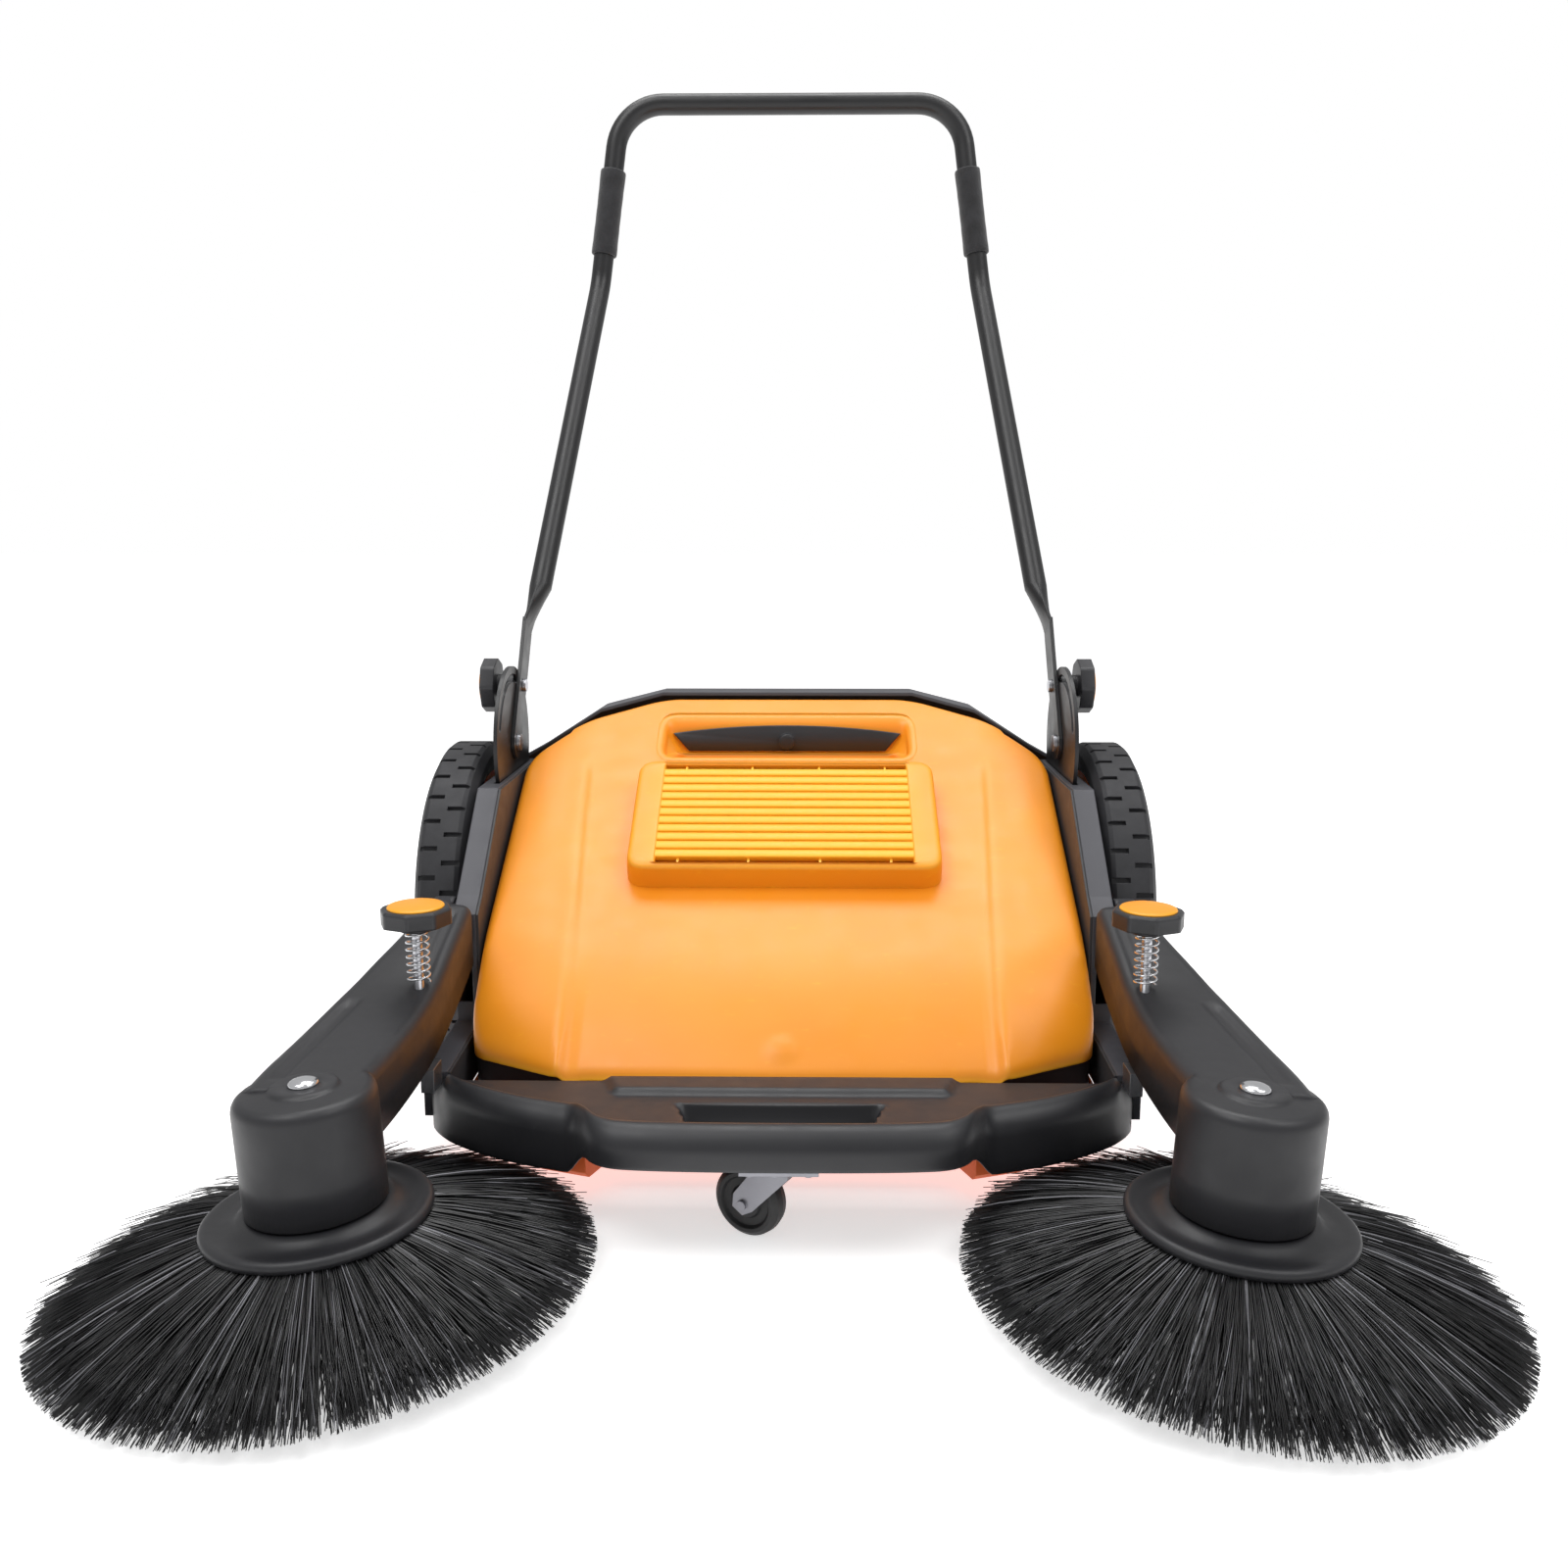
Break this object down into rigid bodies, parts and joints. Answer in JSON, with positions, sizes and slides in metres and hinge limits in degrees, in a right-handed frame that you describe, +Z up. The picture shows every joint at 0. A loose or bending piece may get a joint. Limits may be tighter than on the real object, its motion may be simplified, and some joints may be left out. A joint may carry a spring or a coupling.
{
  "type": "walk-behind sweeper",
  "caption": "Push sweeper with two belt-driven round side brushes, a roller brush, lift-out hopper, two large wheels, a front caster and a folding tube handle.",
  "frame": {"origin": "middle of the footprint, on the floor", "axes": "+Z up; the machine faces -Y, so the handle is towards +Y; +X is the machine's left seen from the front, the side its belt drive gear is not on"},
  "size_m": [1.0674, 1.1195, 1.1005],
  "materials": {
    "orange_plastic": "satin moulded",
    "grille_plastic": "satin moulded",
    "black_plastic": "fine moulded grain",
    "grey_plastic": "plain moulded",
    "tyre": "matte",
    "nylon": "bristle",
    "rubber": "matte",
    "filter_cloth": "pleated",
    "black_paint": "gloss powder coat",
    "foam": "foam",
    "bright_steel": "zinc plated",
    "polished_steel": "polished",
    "caster_rubber": "smooth"
  },
  "bodies": {
    "chassis": {"side_panel_left": "black_plastic", "side_panel_right": "black_plastic", "belt_covers": "black_plastic", "rear_deck": "black_plastic", "front_bumper": "black_plastic", "floor_pan": "grey_plastic", "wheel_axle": "bright_steel", "shaft_bearings": "grey_plastic", "rear_flap": "rubber", "handle_quadrants": "black_paint", "pivot_pins": "bright_steel", "adjuster_lugs": "bright_steel", "caster_plate": "bright_steel", "panel_screws": "bright_steel", "drive_belt_left": "rubber", "drive_belt_right": "rubber", "arm_spring_left": "bright_steel", "arm_spring_right": "bright_steel"},
    "hopper": {"hopper_hood": "orange_plastic", "hopper_bin": "grey_plastic", "vent_grille": "grille_plastic", "hopper_filter": "filter_cloth", "hopper_seal": "rubber"},
    "latch": {"hopper_latch": "black_plastic"},
    "handle": {"handle_tube": "black_paint", "foam_grips": "foam"},
    "wheel_left": {"tyre_left": "tyre", "wheel_hub_left": "orange_plastic", "drive_pulley_left": "grey_plastic", "drive_gear": "grey_plastic"},
    "wheel_right": {"tyre_right": "tyre", "wheel_hub_right": "orange_plastic", "drive_pulley_right": "grey_plastic"},
    "roller": {"roller_core": "grey_plastic", "roller_bristles": "nylon", "roller_pinion": "grey_plastic"},
    "caster_fork": {"caster_fork": "bright_steel"},
    "caster_wheel": {"caster_wheel": "caster_rubber"},
    "clamp_left": {"clamp_knob_left": "black_plastic", "clamp_cap_left": "orange_plastic", "clamp_bolt_left": "bright_steel"},
    "arm_left": {"brush_arm_left": "black_plastic", "post_rivet_left": "polished_steel"},
    "brush_left": {"brush_disc_left": "grey_plastic", "brush_spindle_left": "bright_steel", "brush_bristles_left": "nylon"},
    "adjuster_left": {"adjust_knob_left": "black_plastic", "adjust_cap_left": "orange_plastic", "adjust_screw_left": "bright_steel"},
    "clamp_right": {"clamp_knob_right": "black_plastic", "clamp_cap_right": "orange_plastic", "clamp_bolt_right": "bright_steel"},
    "arm_right": {"brush_arm_right": "black_plastic", "post_rivet_right": "polished_steel"},
    "brush_right": {"brush_disc_right": "grey_plastic", "brush_spindle_right": "bright_steel", "brush_bristles_right": "nylon"},
    "adjuster_right": {"adjust_knob_right": "black_plastic", "adjust_cap_right": "orange_plastic", "adjust_screw_right": "bright_steel"}
  },
  "joints": [
    {"name": "handle_fold", "type": "hinge", "parent": "chassis", "child": "handle", "pos_m": [0, 0.17225, 0.335], "axis": [-1, 0, 0], "range_deg": [-95, 6]},
    {"name": "hopper_lift", "type": "slide", "parent": "chassis", "child": "hopper", "axis": [0, 0, 1], "range_m": [0, 0.25]},
    {"name": "hopper_latch", "type": "hinge", "parent": "hopper", "child": "latch", "pos_m": [0, 0.23125, 0.319], "axis": [1, 0, 0], "range_deg": [0, 18], "stiffness_Nm_per_rad": 0.4, "springref_deg": -5.73},
    {"name": "roller_spin", "type": "hinge", "parent": "chassis", "child": "roller", "pos_m": [0, 0.20725, 0.07814], "axis": [1, 0, 0], "continuous": true},
    {"name": "caster_swivel", "type": "hinge", "parent": "chassis", "child": "caster_fork", "pos_m": [0, -0.27775, 0.06], "axis": [0, 0, 1], "continuous": true},
    {"name": "caster_roll", "type": "hinge", "parent": "caster_fork", "child": "caster_wheel", "pos_m": [-0.02296, -0.26554, 0.03], "axis": [0.4695, 0.8829, 0], "continuous": true},
    {"name": "wheel_left_spin", "type": "hinge", "parent": "chassis", "child": "wheel_left", "pos_m": [-0.338, 0.16225, 0.168], "axis": [1, 0, 0], "continuous": true},
    {"name": "arm_left_float", "type": "hinge", "parent": "chassis", "child": "arm_left", "pos_m": [-0.32, -0.03775, 0.205], "axis": [-1, 0, 0], "range_deg": [0, 3], "stiffness_Nm_per_rad": 40, "springref_deg": -2.86, "deforming": ["arm_spring_left", "drive_belt_left"]},
    {"name": "brush_left_spin", "type": "hinge", "parent": "arm_left", "child": "brush_left", "pos_m": [-0.337, -0.35975, 0.072], "axis": [-0.0523, 0, 0.9986], "continuous": true},
    {"name": "adjuster_left_turn", "type": "hinge", "parent": "chassis", "child": "adjuster_left", "pos_m": [-0.303, -0.19275, 0.24], "axis": [0, 0, 1], "range_deg": [0, 360]},
    {"name": "clamp_left_turn", "type": "hinge", "parent": "handle", "child": "clamp_left", "pos_m": [-0.3, 0.21091, 0.39275], "axis": [1, 0, 0], "range_deg": [0, 360]},
    {"name": "wheel_right_spin", "type": "hinge", "parent": "chassis", "child": "wheel_right", "pos_m": [0.338, 0.16225, 0.168], "axis": [1, 0, 0], "continuous": true},
    {"name": "arm_right_float", "type": "hinge", "parent": "chassis", "child": "arm_right", "pos_m": [0.32, -0.03775, 0.205], "axis": [-1, 0, 0], "range_deg": [0, 3], "stiffness_Nm_per_rad": 40, "springref_deg": -2.86, "deforming": ["arm_spring_right", "drive_belt_right"]},
    {"name": "brush_right_spin", "type": "hinge", "parent": "arm_right", "child": "brush_right", "pos_m": [0.337, -0.35975, 0.072], "axis": [0.0523, 0, 0.9986], "continuous": true},
    {"name": "adjuster_right_turn", "type": "hinge", "parent": "chassis", "child": "adjuster_right", "pos_m": [0.303, -0.19275, 0.24], "axis": [0, 0, 1], "range_deg": [0, 360]},
    {"name": "clamp_right_turn", "type": "hinge", "parent": "handle", "child": "clamp_right", "pos_m": [0.3, 0.21091, 0.39275], "axis": [1, 0, 0], "range_deg": [0, 360]}
  ],
  "couplings": [
    {"joint": "roller_spin", "follows": "wheel_left_spin", "ratio": -2.5263},
    {"joint": "brush_left_spin", "follows": "wheel_left_spin", "ratio": 1.4286},
    {"joint": "brush_right_spin", "follows": "wheel_right_spin", "ratio": -1.4286}
  ]
}
